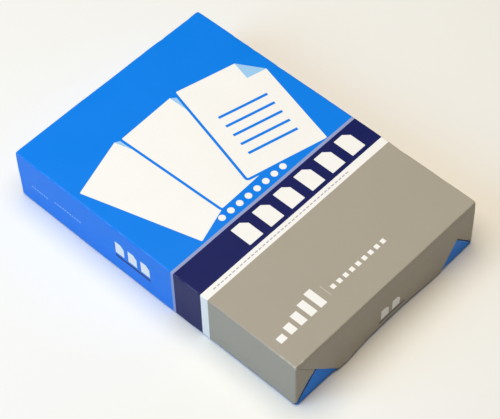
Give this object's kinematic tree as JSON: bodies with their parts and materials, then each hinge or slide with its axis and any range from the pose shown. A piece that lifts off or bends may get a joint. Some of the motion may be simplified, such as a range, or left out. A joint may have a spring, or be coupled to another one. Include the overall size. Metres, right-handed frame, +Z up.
{
  "type": "ream of paper",
  "caption": "Sealed ream of A4 office paper in a printed wrapper with folded, glued envelope ends, lying flat.",
  "frame": {"origin": "centre of the ream's base, on the surface that it lies on", "axes": "+X across the sheets' width, +Y along their length towards the blue end, +Z up through the stack"},
  "size_m": [0.2102, 0.3002, 0.0513],
  "materials": {
    "printed_wrapper": "satin, smooth printed wrapping paper"
  },
  "bodies": {
    "root": {"wrapped_ream": "printed_wrapper"}
  },
  "joints": []
}
